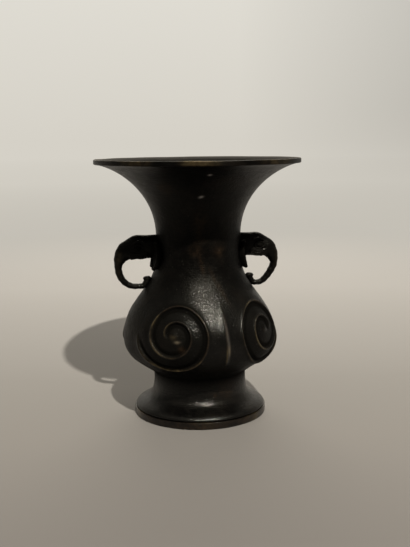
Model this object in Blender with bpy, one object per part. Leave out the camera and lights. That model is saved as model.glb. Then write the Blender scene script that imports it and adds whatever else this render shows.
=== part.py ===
"""Cast bronze baluster vase with scroll relief and two elephant-head handles.

The body is three hollow castings, neck, belly and foot, that fit spigot in socket and are soldered
from inside. A disc let into the foot closes the bottom. Each handle is one casting, an elephant's
head whose trunk curls in to the shoulder, held by two pins that are driven from inside the body.

Metres, +Z up. The origin is the middle of the foot, on the table. The front faces -Y and the
handles stand on +X and -X.
"""

import math

import bmesh
import bpy
import numpy as np
from mathutils import Matrix, Vector

# Body outline: the whole height, heights stacked up from the table, and outer radii
HEIGHT = 0.1500
BASE_BAND = 0.0040
BASE_RADIUS = 0.0391
BASE_EDGE = 0.0005
GROOVE_WIDTH = 0.0008
GROOVE_DEPTH = 0.0006
CUSHION_SETBACK = 0.0007
CUSHION_SLOPE = -0.1
CUSHION_RISE = 0.0022
CUSHION_ROUND = 0.0020
CUSHION_FALL_RISE = 0.0022
CUSHION_FALL_RADIUS = 0.0324
HOLLOW_RISE = 0.0024
HOLLOW_RADIUS = 0.0289
STEM_FOOT_RISE = 0.0034
STEM_FOOT_SPREAD = 0.0003
STEM_RISE = 0.0050
STEM_RADIUS = 0.0272
FOOT_HEIGHT = 0.0250
UNDERSIDE_SLOPE = 1.0
LOWER_BELLY_RISE = 0.0095
LOWER_BELLY_FALL = 0.0052
BELLY_RISE = 0.0120
BELLY_RADIUS = 0.0450
UPPER_BELLY_RISE = 0.0115
UPPER_BELLY_FALL = 0.0026
SHOULDER_RISE = 0.0120
SHOULDER_RADIUS = 0.0351
NECK_ROOT_RISE = 0.0120
NECK_ROOT_SPREAD = 0.0029
NECK_SEAM_RISE = 0.0080
HEAD_RISE = 0.0095
WAIST_RISE = 0.0045
NECK_RADIUS = 0.0247
FLARE_POWER = 2.26
FLARE_ROUNDNESS = 0.69
RIM_BAND = 0.0028
RIM_RADIUS = 0.0597
LIP_LAND = 0.0030

# Walls, joints and clearances
WALL = 0.0026
CLEARANCE = 0.0003
SPIGOT_LENGTH = 0.0055
SPIGOT_WALL = 0.0015
SOLDER_SIZE = 0.0015
BASE_RING_WIDTH = 0.0035
PLATE_THICKNESS = 0.0018
PLATE_HEIGHT = 0.0030

# Scroll relief on the belly
SCROLL_PAIRS = 2
PAIR_TURN = math.radians(11.5)
SCROLL_OFFSET = math.radians(38.3)
SCROLL_LIFT = 0.0083
SCROLL_RADIUS = 0.0235
SCROLL_STEP = 0.0092
SCROLL_TURNS = 2.1
SCROLL_TAIL = 0.0020
SCROLL_TAIL_FADE = 10.0
BAR_DROP = 0.0090
RIDGE_WIDTH = 0.0018
RIDGE_CREST = 0.0006
RIDGE_HEIGHT = 0.0009
RIDGE_ROOT = 0.0006
BOSS_WIDTH = 0.0036
BOSS_TURNS = 0.12

# Elephant-head handles, in the upright plane through the vase's axis
HEAD_LENGTH = 0.0100
HEAD_HEIGHT = 0.0140
HEAD_WIDTH = 0.0110
HEAD_ROOT_SHARE = 0.86
LOOP_REACH = 0.0121
LOOP_DROP = 0.0120
LOOP_HALF_WIDTH = 0.0097
LOOP_HALF_HEIGHT = 0.0112
TRUNK_START = math.radians(58.0)
TRUNK_END = math.radians(-80.0)
TRUNK_TAPER = 0.35
TRUNK_ROOT_SHARE = 0.80
TRUNK_THICKNESS = 0.0044
TRUNK_WIDTH = 0.0054
TRUNK_END_THICKNESS = 0.0032
TRUNK_END_WIDTH = 0.0044
CURL_RADIUS = 0.0020
KNOB_THICKNESS = 0.0036
KNOB_RISE = 0.0030
KNOB_TIP_RISE = 0.0011
KNOB_TIP_SHARE = 0.6
EAR_HEIGHT = 0.0160
EAR_WIDTH = 0.0100
EAR_THICKNESS = 0.0044
EAR_DROP = 0.0055
EAR_SPREAD = math.radians(15.0)
LEFT_SET = 0.0006
RIGHT_SET = -0.0012

# Pins that hold the handles
HEAD_PIN_RADIUS = 0.0012
TRUNK_PIN_RADIUS = 0.0008
PIN_CAP_RATIO = 2.0
PIN_CAP_HEIGHT = 0.0014
HEAD_PIN_GRIP = 0.0060
TRUNK_PIN_GRIP = 0.0024
TRUNK_PIN_DROP = 0.0020

# Facets: sides of round pieces, rings along each stretch, and edges that stay sharp
SEGMENTS = 40
HANDLE_SIDES = 12
PIN_SIDES = 16
EAR_SIDES = 12
EAR_RINGS = 8
NECK_RINGS = 5
FLARE_RINGS = 11
THROAT_RINGS = 9
BELLY_RINGS = 19
FOOT_RINGS = 14
TURN_RINGS = 18
BAR_RINGS = 9
HEAD_RINGS = 5
TRUNK_RINGS = 9
CURL_RINGS = 4
CAP_RINGS = 4
SEAT_RINGS = 24
SEAT_FLARE_RINGS = 7
SEAT_FLARE_SHARE = 0.55
WALL_SAMPLES = 400
SHARP_EDGE = math.radians(35.0)
WELD = 1e-7
OVERRUN = 0.0020

# Finishes: colour, roughness and metallic value
PATINA = ((0.035, 0.030, 0.024), 0.42, 0.9)
WORN_BROWN = ((0.060, 0.043, 0.028), 0.45, 0.9)
PIN_BRONZE = ((0.120, 0.080, 0.040), 0.50, 0.9)
SOLDER_GREY = ((0.230, 0.225, 0.215), 0.55, 0.9)


def clear_scene():
    """Remove every object that the scene already holds."""
    for thing in list(bpy.data.objects):
        bpy.data.objects.remove(thing, do_unlink=True)


def finish_material(name, finish):
    """Principled material from a colour, a roughness and a metallic value."""
    colour, roughness, metallic = finish
    material = bpy.data.materials.new(name)
    material.use_nodes = True
    shader = material.node_tree.nodes["Principled BSDF"]
    shader.inputs["Base Color"].default_value = (*colour, 1.0)
    shader.inputs["Roughness"].default_value = roughness
    shader.inputs["Metallic"].default_value = metallic
    return material


def add_object(name, bm, finish):
    """Close a bmesh into a named object with its own material, faces out and round parts smooth."""
    bmesh.ops.recalc_face_normals(bm, faces=bm.faces)
    mesh = bpy.data.meshes.new(name)
    bm.to_mesh(mesh)
    bm.free()
    mesh.shade_smooth()
    mesh.set_sharp_from_angle(angle=SHARP_EDGE)
    mesh.materials.append(finish_material(name + "_finish", finish))
    thing = bpy.data.objects.new(name, mesh)
    bpy.context.collection.objects.link(thing)
    return thing


def as_tool(thing):
    """Mark an object as a cutter or a guide that is not a piece of the vase."""
    thing.hide_render = True
    thing.display_type = "WIRE"
    return thing


def boolean(thing, other, operation):
    """Join another solid to a piece, or cut it away, with the exact solver."""
    modifier = thing.modifiers.new(other.name, "BOOLEAN")
    modifier.operation = operation
    modifier.solver = "EXACT"
    modifier.object = other


def clamped_spline(stations, start_slope, end_slope):
    """Radius as a smooth cubic spline of height through (height, radius) stations with given end slopes."""
    heights, radii = np.array(stations).T
    steps = np.diff(heights)
    rises = np.diff(radii) / steps
    system = np.eye(len(heights))
    wanted = np.array([start_slope, *np.zeros(len(heights) - 2), end_slope])
    for row in range(1, len(heights) - 1):
        before, after = 1.0 / steps[row - 1], 1.0 / steps[row]
        system[row, row - 1:row + 2] = before, 2.0 * (before + after), after
        wanted[row] = 3.0 * (rises[row - 1] * before + rises[row] * after)
    slopes = np.linalg.solve(system, wanted)

    def radius(height):
        span = np.clip(np.searchsorted(heights, height) - 1, 0, len(steps) - 1)
        t = (height - heights[span]) / steps[span]
        start = radii[span] * (1 + 2 * t) + slopes[span] * steps[span] * t
        end = radii[span + 1] * (3 - 2 * t) - slopes[span + 1] * steps[span] * (1 - t)
        return start * (1 - t) ** 2 + end * t ** 2

    return radius


# Heights above the table, each stacked on the one before
CUSHION_EDGE_Z = BASE_BAND + GROOVE_WIDTH
CUSHION_Z = CUSHION_EDGE_Z + CUSHION_RISE
CUSHION_FALL_Z = CUSHION_Z + CUSHION_FALL_RISE
HOLLOW_Z = CUSHION_FALL_Z + HOLLOW_RISE
STEM_FOOT_Z = HOLLOW_Z + STEM_FOOT_RISE
STEM_Z = STEM_FOOT_Z + STEM_RISE
LOWER_BELLY_Z = FOOT_HEIGHT + LOWER_BELLY_RISE
BELLY_Z = LOWER_BELLY_Z + BELLY_RISE
UPPER_BELLY_Z = BELLY_Z + UPPER_BELLY_RISE
SHOULDER_Z = UPPER_BELLY_Z + SHOULDER_RISE
NECK_ROOT_Z = SHOULDER_Z + NECK_ROOT_RISE
NECK_SEAM_Z = NECK_ROOT_Z + NECK_SEAM_RISE
HEAD_Z = NECK_SEAM_Z + HEAD_RISE
NECK_WAIST_Z = HEAD_Z + WAIST_RISE
BAND_Z = HEIGHT - RIM_BAND
SCROLL_Z = BELLY_Z + SCROLL_LIFT
LOOP_Z = HEAD_Z - LOOP_DROP
KNOB_Z = LOOP_Z - LOOP_HALF_HEIGHT + CURL_RADIUS
TRUNK_PIN_Z = KNOB_Z - TRUNK_PIN_DROP

# Radii and seats that several pieces share
CUSHION_EDGE_RADIUS = BASE_RADIUS - CUSHION_SETBACK
NECK_BORE = NECK_RADIUS - WALL
NECK_SPIGOT_RADIUS = NECK_BORE + SPIGOT_WALL
NECK_SOCKET = NECK_SPIGOT_RADIUS + CLEARANCE
NECK_SPIGOT_END = NECK_SEAM_Z - SPIGOT_LENGTH
STEM_BORE = STEM_RADIUS - WALL
FOOT_SPIGOT_RADIUS = STEM_BORE - CLEARANCE
FOOT_SPIGOT_BORE = FOOT_SPIGOT_RADIUS - SPIGOT_WALL
FOOT_SPIGOT_END = FOOT_HEIGHT - SPIGOT_LENGTH
BASE_RECESS = BASE_RADIUS - BASE_RING_WIDTH
PLATE_SEAT_Z = PLATE_HEIGHT + PLATE_THICKNESS + CLEARANCE

body_radius = clamped_spline(
    [
        (FOOT_HEIGHT, STEM_RADIUS),
        (LOWER_BELLY_Z, BELLY_RADIUS - LOWER_BELLY_FALL),
        (BELLY_Z, BELLY_RADIUS),
        (UPPER_BELLY_Z, BELLY_RADIUS - UPPER_BELLY_FALL),
        (SHOULDER_Z, SHOULDER_RADIUS),
        (NECK_ROOT_Z, NECK_RADIUS + NECK_ROOT_SPREAD),
        (NECK_WAIST_Z, NECK_RADIUS),
    ],
    UNDERSIDE_SLOPE,
    0.0,
)

foot_radius = clamped_spline(
    [
        (CUSHION_EDGE_Z, CUSHION_EDGE_RADIUS),
        (CUSHION_Z, CUSHION_EDGE_RADIUS - CUSHION_ROUND),
        (CUSHION_FALL_Z, CUSHION_FALL_RADIUS),
        (HOLLOW_Z, HOLLOW_RADIUS),
        (STEM_FOOT_Z, STEM_RADIUS + STEM_FOOT_SPREAD),
        (STEM_Z, STEM_RADIUS),
        (FOOT_HEIGHT, STEM_RADIUS),
    ],
    CUSHION_SLOPE,
    0.0,
)


def flare(height, start_radius, end_radius, end_height):
    """Trumpet curve: upright at the neck's waist, turning out until it is level at the rim."""
    rise = (height - NECK_WAIST_Z) / (end_height - NECK_WAIST_Z)
    opening = 1.0 - (1.0 - rise ** FLARE_POWER) ** FLARE_ROUNDNESS
    return start_radius + (end_radius - start_radius) * opening


def outline(radius, heights):
    """Points (radius, height) of a turned outline."""
    return [(float(radius(height)), float(height)) for height in heights]


def inset(points, distance):
    """The same outline moved into the material by a distance, square to itself."""
    line = np.array(points)
    along = np.gradient(line, axis=0)
    length = np.hypot(along[:, 0], along[:, 1])
    moved = np.column_stack((
        line[:, 0] - distance * along[:, 1] / length,
        line[:, 1] + distance * along[:, 0] / length,
    ))
    return [tuple(point) for point in moved]


def closing_steps(start, end, count):
    """Heights from start to end, closer together towards the end."""
    t = np.linspace(0.0, 1.0, count)
    return start + (end - start) * np.sin(t * math.pi / 2.0)


def turned(name, profile, finish, sides=SEGMENTS):
    """Solid of revolution about Z from a closed (radius, height) profile clear of the axis."""
    bm = bmesh.new()
    ring = [bm.verts.new((radius, 0.0, height)) for radius, height in profile]
    edges = [bm.edges.new((a, b)) for a, b in zip(ring, ring[1:] + ring[:1])]
    bmesh.ops.spin(bm, geom=edges, axis=(0, 0, 1), cent=(0, 0, 0), angle=2 * math.pi,
                   steps=sides, use_merge=True)
    bmesh.ops.remove_doubles(bm, verts=bm.verts, dist=WELD)
    return add_object(name, bm, finish)


def turned_closed(name, profile, finish, sides=SEGMENTS):
    """Solid of revolution about Z from an open profile whose two ends lie on the axis."""
    bm = bmesh.new()
    line = [bm.verts.new((radius, 0.0, height)) for radius, height in profile]
    edges = [bm.edges.new((a, b)) for a, b in zip(line, line[1:])]
    bmesh.ops.spin(bm, geom=edges, axis=(0, 0, 1), cent=(0, 0, 0), angle=2 * math.pi,
                   steps=sides, use_merge=True)
    bmesh.ops.remove_doubles(bm, verts=bm.verts, dist=WELD)
    bmesh.ops.dissolve_degenerate(bm, edges=bm.edges, dist=WELD)
    return add_object(name, bm, finish)


def loft(bm, rings):
    """Skin closed rings of points into one tube with flat ends."""
    loops = [[bm.verts.new(point) for point in ring] for ring in rings]
    for low, high in zip(loops, loops[1:]):
        for i in range(len(low)):
            j = (i + 1) % len(low)
            bm.faces.new((low[i], low[j], high[j], high[i]))
    bm.faces.new(loops[0][::-1])
    bm.faces.new(loops[-1])


def make_neck():
    """Neck and rim: the trumpet outside, the flare inside, a straight bore and a spigot below."""
    waist = outline(body_radius, np.linspace(NECK_SEAM_Z + CLEARANCE, NECK_WAIST_Z, NECK_RINGS)[:-1])
    outside = [
        (float(flare(z, NECK_RADIUS, RIM_RADIUS, BAND_Z)), float(z))
        for z in closing_steps(NECK_WAIST_Z, BAND_Z, FLARE_RINGS)
    ]
    inside = [
        (float(flare(z, NECK_BORE, RIM_RADIUS - LIP_LAND, HEIGHT)), float(z))
        for z in closing_steps(NECK_WAIST_Z, HEIGHT, THROAT_RINGS)
    ]
    spigot = [
        (NECK_BORE, NECK_SPIGOT_END),
        (NECK_SPIGOT_RADIUS, NECK_SPIGOT_END),
        (NECK_SPIGOT_RADIUS, NECK_SEAM_Z + CLEARANCE),
    ]
    profile = waist + outside + [(RIM_RADIUS, HEIGHT)] + inside[::-1] + spigot
    return turned("neck_casting", profile, PATINA)


def make_belly():
    """Belly and shoulder: a hollow casting with a socket above and a spigot below, scrolls outside."""
    low = FOOT_HEIGHT + CLEARANCE
    outside = outline(body_radius, np.linspace(low, NECK_SEAM_Z, BELLY_RINGS))
    cavity = inset(outside, WALL)
    socket_end = NECK_SPIGOT_END - CLEARANCE - SOLDER_SIZE
    cavity = [p for p in cavity if p[0] > FOOT_SPIGOT_BORE and p[1] < socket_end - CLEARANCE]
    socket = [(NECK_SOCKET, socket_end), (NECK_SOCKET, NECK_SEAM_Z)]
    spigot = [
        (FOOT_SPIGOT_RADIUS, low),
        (FOOT_SPIGOT_RADIUS, FOOT_SPIGOT_END),
        (FOOT_SPIGOT_BORE, FOOT_SPIGOT_END),
        (FOOT_SPIGOT_BORE, FOOT_HEIGHT),
    ]
    belly = turned("belly_casting", outside + socket[::-1] + cavity[::-1] + spigot[::-1], PATINA)
    boolean(belly, make_scrolls(), "UNION")
    boolean(belly, make_bars(), "UNION")
    return belly


def on_belly(angle, height, lift):
    """Point at an angle round from the front, at a height, raised square off the belly by a lift."""
    step = 1e-4
    slope = (body_radius(height + step) - body_radius(height - step)) / (2 * step)
    lean = math.hypot(1.0, slope)
    radius = body_radius(height) + lift / lean
    rise = height - lift * slope / lean
    return Vector((radius * math.sin(angle), -radius * math.cos(angle), rise))


def ridge(bm, route, widths):
    """Raised ridge that follows a route of (angle, height) points on the belly, rooted in the wall."""
    middle = [on_belly(angle, height, 0.0) for angle, height in route]
    rings = []
    for i, (angle, height) in enumerate(route):
        along = (middle[min(i + 1, len(middle) - 1)] - middle[max(i - 1, 0)]).normalized()
        out = (on_belly(angle, height, RIDGE_HEIGHT) - middle[i]).normalized()
        side = along.cross(out)
        foot, crest = side * widths[i] / 2, side * (widths[i] - RIDGE_WIDTH + RIDGE_CREST) / 2
        root, top = middle[i] - out * RIDGE_ROOT, middle[i] + out * RIDGE_HEIGHT
        rings.append([root - foot, root + foot, top + crest, top - crest])
    loft(bm, rings)


def meridian():
    """Heights up the belly, and the length of the wall from the scroll's middle to each of them."""
    heights = np.linspace(FOOT_HEIGHT, NECK_SEAM_Z, WALL_SAMPLES)
    lengths = np.concatenate(([0.0], np.cumsum(np.hypot(np.diff(heights), np.diff(body_radius(heights))))))
    return heights, lengths - np.interp(SCROLL_Z, heights, lengths)


def pair_middles():
    """Angles of the middles of the scroll pairs round from the front, evenly spaced from the first."""
    return [PAIR_TURN + i * 2 * math.pi / SCROLL_PAIRS for i in range(SCROLL_PAIRS)]


def make_scrolls():
    """Every scroll: a spiral that closes by an even step each turn from a wider tail, in mirrored pairs."""
    heights, lengths = meridian()
    turns = np.linspace(0.0, SCROLL_TURNS, round(SCROLL_TURNS * TURN_RINGS) + 1)
    reach = SCROLL_RADIUS - SCROLL_STEP * turns + SCROLL_TAIL * np.exp(-SCROLL_TAIL_FADE * turns)
    bearing = math.pi + 2 * math.pi * turns
    climb = np.interp(reach * np.sin(bearing), lengths, heights)
    swing = reach * np.cos(bearing) / body_radius(SCROLL_Z)
    widths = np.where(turns > SCROLL_TURNS - BOSS_TURNS, BOSS_WIDTH, RIDGE_WIDTH)
    bm = bmesh.new()
    for middle in pair_middles():
        for side in (-1, 1):
            ridge(bm, list(zip(middle + side * (SCROLL_OFFSET - swing), climb)), widths)
    return as_tool(add_object("scroll_ridges", bm, PATINA))


def make_bars():
    """Upright ridges, one in the middle of each pair of scrolls."""
    heights = np.linspace(BELLY_Z - BAR_DROP, SHOULDER_Z, BAR_RINGS)
    bm = bmesh.new()
    for middle in pair_middles():
        ridge(bm, [(middle, height) for height in heights], np.full(len(heights), RIDGE_WIDTH))
    return as_tool(add_object("bar_ridges", bm, PATINA))


def make_foot():
    """Foot: waisted stem, cushion moulding, groove and base band outside, socket and recess inside."""
    outside = outline(foot_radius, np.linspace(CUSHION_EDGE_Z, FOOT_HEIGHT, FOOT_RINGS))
    hollow = [
        p for p in inset(outside, WALL)
        if STEM_BORE < p[0] < BASE_RECESS - CLEARANCE and PLATE_SEAT_Z + CLEARANCE < p[1] < FOOT_SPIGOT_END
    ]
    groove_radius = CUSHION_EDGE_RADIUS - GROOVE_DEPTH
    base = [
        (BASE_RECESS, 0.0),
        (BASE_RADIUS - BASE_EDGE, 0.0),
        (BASE_RADIUS, BASE_EDGE),
        (BASE_RADIUS, BASE_BAND - BASE_EDGE),
        (BASE_RADIUS - BASE_EDGE, BASE_BAND),
        (groove_radius, BASE_BAND + GROOVE_WIDTH / 2),
    ]
    ledge = [(hollow[0][0], PLATE_SEAT_Z), (BASE_RECESS, PLATE_SEAT_Z)]
    bore = [(STEM_BORE, FOOT_HEIGHT), (STEM_BORE, max(p[1] for p in hollow) + CLEARANCE)]
    return turned("foot_casting", base + outside + bore + hollow[::-1] + ledge, PATINA)


def make_base_plate():
    """Disc under the ledge in the foot, with the clearance of its seat all round."""
    radius = BASE_RECESS - CLEARANCE
    top = PLATE_HEIGHT + PLATE_THICKNESS
    profile = [(0.0, top), (radius, top), (radius, PLATE_HEIGHT), (0.0, PLATE_HEIGHT)]
    return turned_closed("base_plate", profile, WORN_BROWN)


def make_solder(name, wall_radius, top):
    """Fillet of solder in the corner under an edge, against a wall of the given radius."""
    outer = wall_radius - CLEARANCE
    corner = top - CLEARANCE
    profile = [(outer, corner), (outer - SOLDER_SIZE, corner), (outer, corner - SOLDER_SIZE)]
    return turned(name, profile, SOLDER_GREY)


def make_seat():
    """The body's outside with the clearance added, for cutting the handles' ends to fit it."""
    line = outline(body_radius, np.linspace(LOWER_BELLY_Z, NECK_WAIST_Z, SEAT_RINGS))
    top = NECK_WAIST_Z + SEAT_FLARE_SHARE * (BAND_Z - NECK_WAIST_Z)
    line += [
        (float(flare(z, NECK_RADIUS, RIM_RADIUS, BAND_Z)), float(z))
        for z in np.linspace(NECK_WAIST_Z, top, SEAT_FLARE_RINGS)[1:]
    ]
    line = inset(line, -CLEARANCE)
    return as_tool(turned_closed("handle_seat", [(0.0, line[0][1])] + line + [(0.0, line[-1][1])], PATINA))


def handle_path(set_out):
    """Centre line of a handle as (reach, height, half thickness, half width) stations.

    The head runs level out of the neck. The trunk is an elliptical arc from the brow round to the
    bottom of the loop, then runs level and curls up against the shoulder into a knob. The handles
    are set by hand, so each one's head and loop stand out by a little more or less than the mean.
    """
    loop_reach = NECK_RADIUS + LOOP_REACH + set_out
    head_end = NECK_RADIUS + HEAD_LENGTH + set_out
    head_thick, head_wide = HEAD_HEIGHT / 2, HEAD_WIDTH / 2
    end_thick, end_wide = TRUNK_END_THICKNESS / 2, TRUNK_END_WIDTH / 2
    knob_thick = KNOB_THICKNESS / 2
    curl_reach = float(body_radius(KNOB_Z)) + knob_thick + CURL_RADIUS
    taper = (0.0, TRUNK_TAPER, 1.0)
    stations = []
    for t in np.linspace(0.0, 1.0, HEAD_RINGS):
        share = HEAD_ROOT_SHARE + (1.0 - HEAD_ROOT_SHARE) * math.sin(math.pi * t)
        stations.append((NECK_BORE + t * (head_end - NECK_BORE), HEAD_Z, head_thick, head_wide * share))
    for t in np.linspace(0.0, 1.0, TRUNK_RINGS):
        bearing = TRUNK_START + t * (TRUNK_END - TRUNK_START)
        reach = loop_reach + LOOP_HALF_WIDTH * math.cos(bearing)
        height = LOOP_Z + LOOP_HALF_HEIGHT * math.sin(bearing)
        thick = np.interp(t, taper, (head_thick * TRUNK_ROOT_SHARE, TRUNK_THICKNESS / 2, end_thick))
        wide = np.interp(t, taper, (head_wide * TRUNK_ROOT_SHARE, TRUNK_WIDTH / 2, end_wide))
        stations.append((reach, height, thick, wide))
    for t in np.linspace(0.0, 1.0, CURL_RINGS):
        bearing = -(1.0 + t) * math.pi / 2
        reach = curl_reach + CURL_RADIUS * math.cos(bearing)
        height = KNOB_Z + CURL_RADIUS * math.sin(bearing)
        stations.append((reach, height, end_thick + t * (knob_thick - end_thick), end_wide))
    top = height + KNOB_RISE
    stations.append((reach, top, knob_thick, end_wide))
    stations.append((reach, top + KNOB_TIP_RISE, knob_thick * KNOB_TIP_SHARE, end_wide * KNOB_TIP_SHARE))
    return stations


def make_handle(name, turn, set_out, seat):
    """One handle: head and trunk lofted along the path, ears joined on, ends cut to the body."""
    stations = handle_path(set_out)
    bm = bmesh.new()
    rings = []
    for i, (reach, height, thick, wide) in enumerate(stations):
        before, after = stations[max(i - 1, 0)], stations[min(i + 1, len(stations) - 1)]
        along = Vector((after[0] - before[0], 0.0, after[1] - before[1])).normalized()
        across = Vector((-along.z, 0.0, along.x))
        angles = [2 * math.pi * k / HANDLE_SIDES for k in range(HANDLE_SIDES)]
        middle = Vector((reach, 0.0, height))
        rings.append([
            middle + across * thick * math.sin(a) + Vector((0.0, wide * math.cos(a), 0.0)) for a in angles
        ])
    loft(bm, rings)
    handle = add_object(name, bm, PATINA)
    handle.rotation_euler.z = turn
    boolean(handle, make_ears(name + "_ears", turn), "UNION")
    boolean(handle, seat, "DIFFERENCE")
    return handle


def make_ears(name, turn):
    """Two leaf-shaped ears, one each side of the head, that lie back along the neck."""
    bm = bmesh.new()
    for side in (-1, 1):
        place = (
            Matrix.Rotation(side * EAR_SPREAD, 4, "Z")
            @ Matrix.Translation((NECK_RADIUS + EAR_THICKNESS / 2, 0.0, HEAD_Z - EAR_DROP))
            @ Matrix.Diagonal((EAR_THICKNESS / 2, EAR_WIDTH / 2, EAR_HEIGHT / 2, 1.0))
        )
        bmesh.ops.create_uvsphere(bm, u_segments=EAR_SIDES, v_segments=EAR_RINGS, radius=1.0, matrix=place)
    ears = add_object(name, bm, PATINA)
    ears.rotation_euler.z = turn
    return as_tool(ears)


def make_pin(name, side, height, shank_radius, wall_radius, grip, pieces):
    """Pin along X at a height: domed cap inside the wall, shank through it into the handle.

    wall_radius is the inside of the wall and pieces are the castings that get its hole.
    """
    cap_radius = shank_radius * PIN_CAP_RATIO
    start = math.sqrt(wall_radius ** 2 - cap_radius ** 2) - 2 * CLEARANCE
    end = start + grip
    dome = [
        (cap_radius * math.cos(a), start - PIN_CAP_HEIGHT * math.sin(a))
        for a in np.linspace(0.0, math.pi / 2, CAP_RINGS)
    ]
    profile = [(0.0, end), (shank_radius, end), (shank_radius, start)] + dome[:-1] + [(0.0, dome[-1][1])]
    pin = turned_closed(name, profile, PIN_BRONZE, PIN_SIDES)
    hole_radius = shank_radius + CLEARANCE
    hole_profile = [
        (0.0, end + CLEARANCE),
        (hole_radius, end + CLEARANCE),
        (hole_radius, start - OVERRUN),
        (0.0, start - OVERRUN),
    ]
    hole = as_tool(turned_closed(name + "_hole", hole_profile, PIN_BRONZE, PIN_SIDES))
    for thing in (pin, hole):
        thing.location.z = height
        thing.rotation_euler.y = side * math.pi / 2
    for piece in pieces:
        boolean(piece, hole, "DIFFERENCE")


def build_vase():
    """Make every piece in place."""
    clear_scene()
    neck = make_neck()
    belly = make_belly()
    make_foot()
    make_base_plate()
    make_solder("neck_solder", NECK_SOCKET, NECK_SPIGOT_END)
    make_solder("foot_solder", STEM_BORE, FOOT_SPIGOT_END)
    make_solder("base_solder", BASE_RECESS, PLATE_HEIGHT)
    seat = make_seat()
    cap = TRUNK_PIN_RADIUS * PIN_CAP_RATIO
    shoulder = outline(body_radius, np.linspace(TRUNK_PIN_Z, NECK_SEAM_Z, SEAT_RINGS))
    shoulder_inside = float(inset(shoulder, WALL)[0][0]) - cap
    trunk_grip = float(body_radius(TRUNK_PIN_Z)) - shoulder_inside + TRUNK_PIN_GRIP
    for name, side, turn, set_out in (("right", 1, 0.0, RIGHT_SET), ("left", -1, math.pi, LEFT_SET)):
        handle = make_handle(name + "_handle", turn, set_out, seat)
        make_pin(name + "_head_pin", side, HEAD_Z, HEAD_PIN_RADIUS, NECK_BORE, WALL + HEAD_PIN_GRIP,
                 (neck, handle))
        make_pin(name + "_trunk_pin", side, TRUNK_PIN_Z, TRUNK_PIN_RADIUS, shoulder_inside, trunk_grip,
                 (belly, handle))


build_vase()
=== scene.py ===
import math

import bpy
import numpy as np
from mathutils import Matrix, Vector


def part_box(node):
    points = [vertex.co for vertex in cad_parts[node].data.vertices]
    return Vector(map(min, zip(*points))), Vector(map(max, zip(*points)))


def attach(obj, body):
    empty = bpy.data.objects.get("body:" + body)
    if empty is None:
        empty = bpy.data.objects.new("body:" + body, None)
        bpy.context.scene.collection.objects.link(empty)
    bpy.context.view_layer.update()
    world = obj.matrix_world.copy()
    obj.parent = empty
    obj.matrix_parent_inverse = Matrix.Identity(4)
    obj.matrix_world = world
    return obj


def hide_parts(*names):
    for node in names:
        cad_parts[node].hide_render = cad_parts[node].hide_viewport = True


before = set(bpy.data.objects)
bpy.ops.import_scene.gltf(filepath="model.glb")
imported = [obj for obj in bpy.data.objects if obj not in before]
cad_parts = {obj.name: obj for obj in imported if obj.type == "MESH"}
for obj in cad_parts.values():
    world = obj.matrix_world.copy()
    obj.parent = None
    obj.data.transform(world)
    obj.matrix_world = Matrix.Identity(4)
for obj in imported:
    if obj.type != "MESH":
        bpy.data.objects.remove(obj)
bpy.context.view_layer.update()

# The camera stands in front of the vase and a little to its left, slightly above the rim. Its place
# and lens come from fitting the vase's outline in the 410 by 547 photograph.
IMAGE_HEIGHT = 547
FOCAL_PIXELS = 823.0
CAMERA_TURN = math.radians(-8.0)
CAMERA_DISTANCE = 0.4796
CAMERA_HEIGHT = 0.1604
CAMERA_PITCH = math.radians(9.22)
CAMERA_YAW = math.radians(0.45)
CAMERA_ROLL = math.radians(-0.6)
SENSOR_HEIGHT = 36.0
NEAREST_SEEN = 0.01

upright = Vector((0.0, 0.0, 1.0))
to_camera = Vector((math.sin(CAMERA_TURN), -math.cos(CAMERA_TURN), 0.0))
camera_right = Vector((math.cos(CAMERA_TURN), math.sin(CAMERA_TURN), 0.0))
lens = bpy.data.cameras.new("photo_camera")
lens.sensor_fit = "VERTICAL"
lens.sensor_height = SENSOR_HEIGHT
lens.lens = SENSOR_HEIGHT * FOCAL_PIXELS / IMAGE_HEIGHT
lens.clip_start = NEAREST_SEEN
camera = bpy.data.objects.new("photo_camera", lens)
bpy.context.collection.objects.link(camera)
stand = Matrix.Translation(to_camera * CAMERA_DISTANCE + upright * CAMERA_HEIGHT)
heading = Matrix.Rotation(CAMERA_TURN - CAMERA_YAW, 4, "Z")
tilt = Matrix.Rotation(math.pi / 2 - CAMERA_PITCH, 4, "X")
camera.matrix_world = stand @ heading @ tilt @ Matrix.Rotation(CAMERA_ROLL, 4, "Z")
bpy.context.scene.camera = camera
bpy.context.scene.view_settings.view_transform = "Standard"


# The floor is one wide sheet of warm grey paper that takes the vase's shadow. Its colour is painted light
# and shade:
# very dark near the camera, where only the bronze mirrors it, and paler with distance. It rises gently
# behind the vase, and far off it turns into an unlit painted glow that fades into the pale background, so
# that no horizon shows.
SHEET_HALF = 30.0
RISE_START = 0.042
RISE_LENGTH = 0.20
RISE_STEPS = 41
PAPER_RISE = 0.030
PAPER_NEAR = -0.60
PAPER_FAR = 0.60
PAPER_ROUGHNESS = 0.9
SEEN_REACH = 0.36
GLOW_NEAR = 0.20
GLOW_FAR = 6.00
FADE_NEAR = 0.24
FADE_FAR = 0.76
MIRROR_NEAR = 0.05
MIRROR_FAR = 0.40
MIRROR_GLOW = 0.60
SIDE_SHADE = 0.22
SIDE_FROM = 0.05
SIDE_TO = 0.25
LIFT_FROM = -0.12
LIFT_TO = 0.05
HORIZON_SHADE = (0.665, 0.635, 0.570)
BLACK = (0.0, 0.0, 0.0, 1.0)


def add_node(tree, kind, settings, inputs):
    """Add a shader node, set its own settings, and set each input to a value or link it to a socket."""
    node = tree.nodes.new(kind)
    for key, value in settings.items():
        setattr(node, key, value)
    for key, value in inputs.items():
        if isinstance(value, bpy.types.NodeSocket):
            tree.links.new(value, node.inputs[key])
        else:
            node.inputs[key].default_value = value
    return node


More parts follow.
